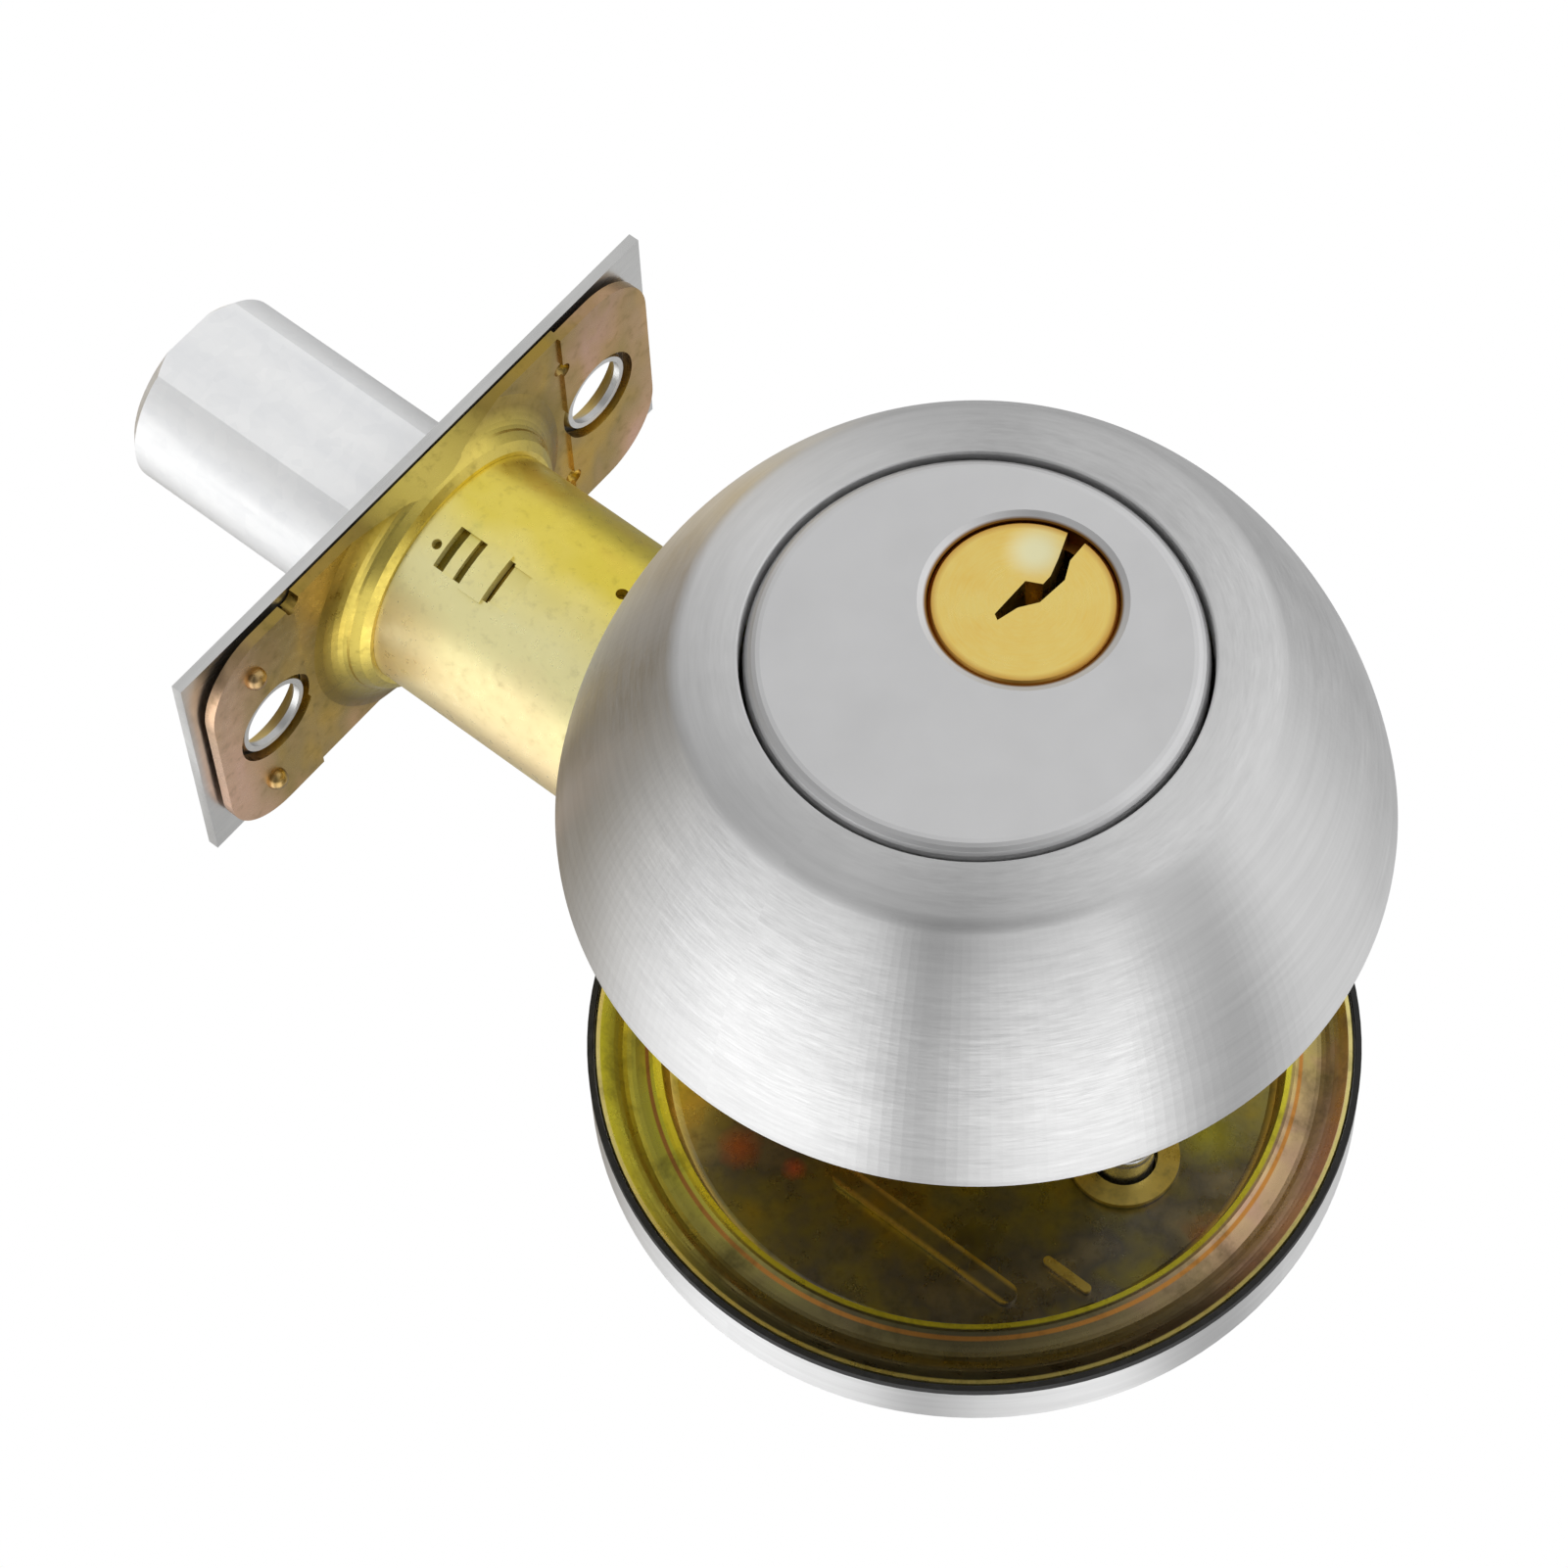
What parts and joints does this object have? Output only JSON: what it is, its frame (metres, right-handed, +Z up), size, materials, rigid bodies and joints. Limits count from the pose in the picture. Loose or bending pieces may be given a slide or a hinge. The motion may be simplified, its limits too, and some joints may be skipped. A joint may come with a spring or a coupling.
{
  "type": "deadbolt door lock",
  "caption": "Tubular deadbolt lock: cone-shaped keyed collar outside, round rose with thumbturn inside, latch tube between, square-cornered faceplate, thrown bolt.",
  "frame": {"origin": "where the axis of the door's big bore meets the axis of the bolt, half way through the door's thickness", "axes": "+Z up as the lock is fitted, -Y out of the door on the keyed side, -X towards the door's edge and the way the bolt is thrown"},
  "size_m": [0.1181, 0.0897, 0.0654],
  "materials": {
    "collar": "brushed round the cone",
    "cylinder_housing": "satin zinc casting, silver-grey face",
    "collar_support": "yellow zinc plated",
    "chamber_cap": "plain brass",
    "key_plug": "turned brass",
    "plug_clip": "phosphated spring steel",
    "tailpiece": "zinc plated strip",
    "key_pins": "turned brass",
    "driver_pins": "turned nickel silver",
    "pin_springs": "spring wire",
    "faceplate": "satin, brushed along its length",
    "backplate": "yellow zinc plated",
    "latch_tube": "yellow zinc plated",
    "inner_sleeve": "yellow zinc plated",
    "tube_cap": "yellow zinc plated",
    "tail_side_front": "yellow zinc plated",
    "tail_side_back": "yellow zinc plated",
    "tail_spacers": "turned steel",
    "hub_spring": "blued spring steel",
    "bolt": "satin nickel plated",
    "bolt_insert": "hardened steel",
    "bolt_bar": "zinc plated strip",
    "bolt_bar_pin": "steel",
    "crank": "zinc casting, yellow plated",
    "crank_pin": "turned steel",
    "mounting_plate": "yellow zinc plated",
    "rose_shell": "brushed",
    "rose_gasket": "matt",
    "screw_spacers": "turned steel",
    "mounting_screws": "zinc plated",
    "thumbturn": "satin zinc casting",
    "thumbturn_bush": "acetal",
    "thumbturn_washer": "plain steel",
    "thumbturn_clip": "phosphated spring steel"
  },
  "bodies": {
    "lock_frame": {"collar": "collar", "cylinder_housing": "cylinder_housing", "collar_support": "collar_support", "chamber_cap": "chamber_cap", "driver_pins": "driver_pins", "pin_springs": "pin_springs", "faceplate": "faceplate", "backplate": "backplate", "latch_tube": "latch_tube", "inner_sleeve": "inner_sleeve", "tube_cap": "tube_cap", "tail_side_front": "tail_side_front", "tail_side_back": "tail_side_back", "tail_spacers": "tail_spacers", "hub_spring": "hub_spring", "mounting_plate": "mounting_plate", "rose_shell": "rose_shell", "rose_gasket": "rose_gasket", "screw_spacers": "screw_spacers", "mounting_screws": "mounting_screws", "thumbturn_bush": "thumbturn_bush", "thumbturn_washer": "thumbturn_washer"},
    "cylinder_plug": {"key_plug": "key_plug", "plug_clip": "plug_clip", "tailpiece": "tailpiece", "key_pins": "key_pins"},
    "hub_crank": {"crank": "crank", "crank_pin": "crank_pin"},
    "inside_turn": {"thumbturn": "thumbturn", "thumbturn_clip": "thumbturn_clip"},
    "dead_bolt": {"bolt": "bolt", "bolt_insert": "bolt_insert", "bolt_bar": "bolt_bar", "bolt_bar_pin": "bolt_bar_pin"}
  },
  "joints": [
    {"name": "thumbturn_turn", "type": "hinge", "parent": "lock_frame", "child": "inside_turn", "pos_m": [0, 0.03, 0.0056], "axis": [0, -1, 0], "range_deg": [0, 90]},
    {"name": "crank_turn", "type": "hinge", "parent": "lock_frame", "child": "hub_crank", "pos_m": [0, 0, 0.0056], "axis": [0, -1, 0], "range_deg": [0, 90]},
    {"name": "plug_turn", "type": "hinge", "parent": "lock_frame", "child": "cylinder_plug", "pos_m": [0, -0.03, 0.0056], "axis": [0, -1, 0], "range_deg": [0, 90]},
    {"name": "bolt_slide", "type": "slide", "parent": "lock_frame", "child": "dead_bolt", "axis": [1, 0, 0], "range_m": [0, 0.02541]}
  ],
  "couplings": [
    {"joint": "crank_turn", "follows": "thumbturn_turn", "ratio": 1},
    {"joint": "plug_turn", "follows": "thumbturn_turn", "ratio": 1},
    {"joint": "bolt_slide", "follows": "thumbturn_turn", "m_per_rad": 0.01617}
  ]
}
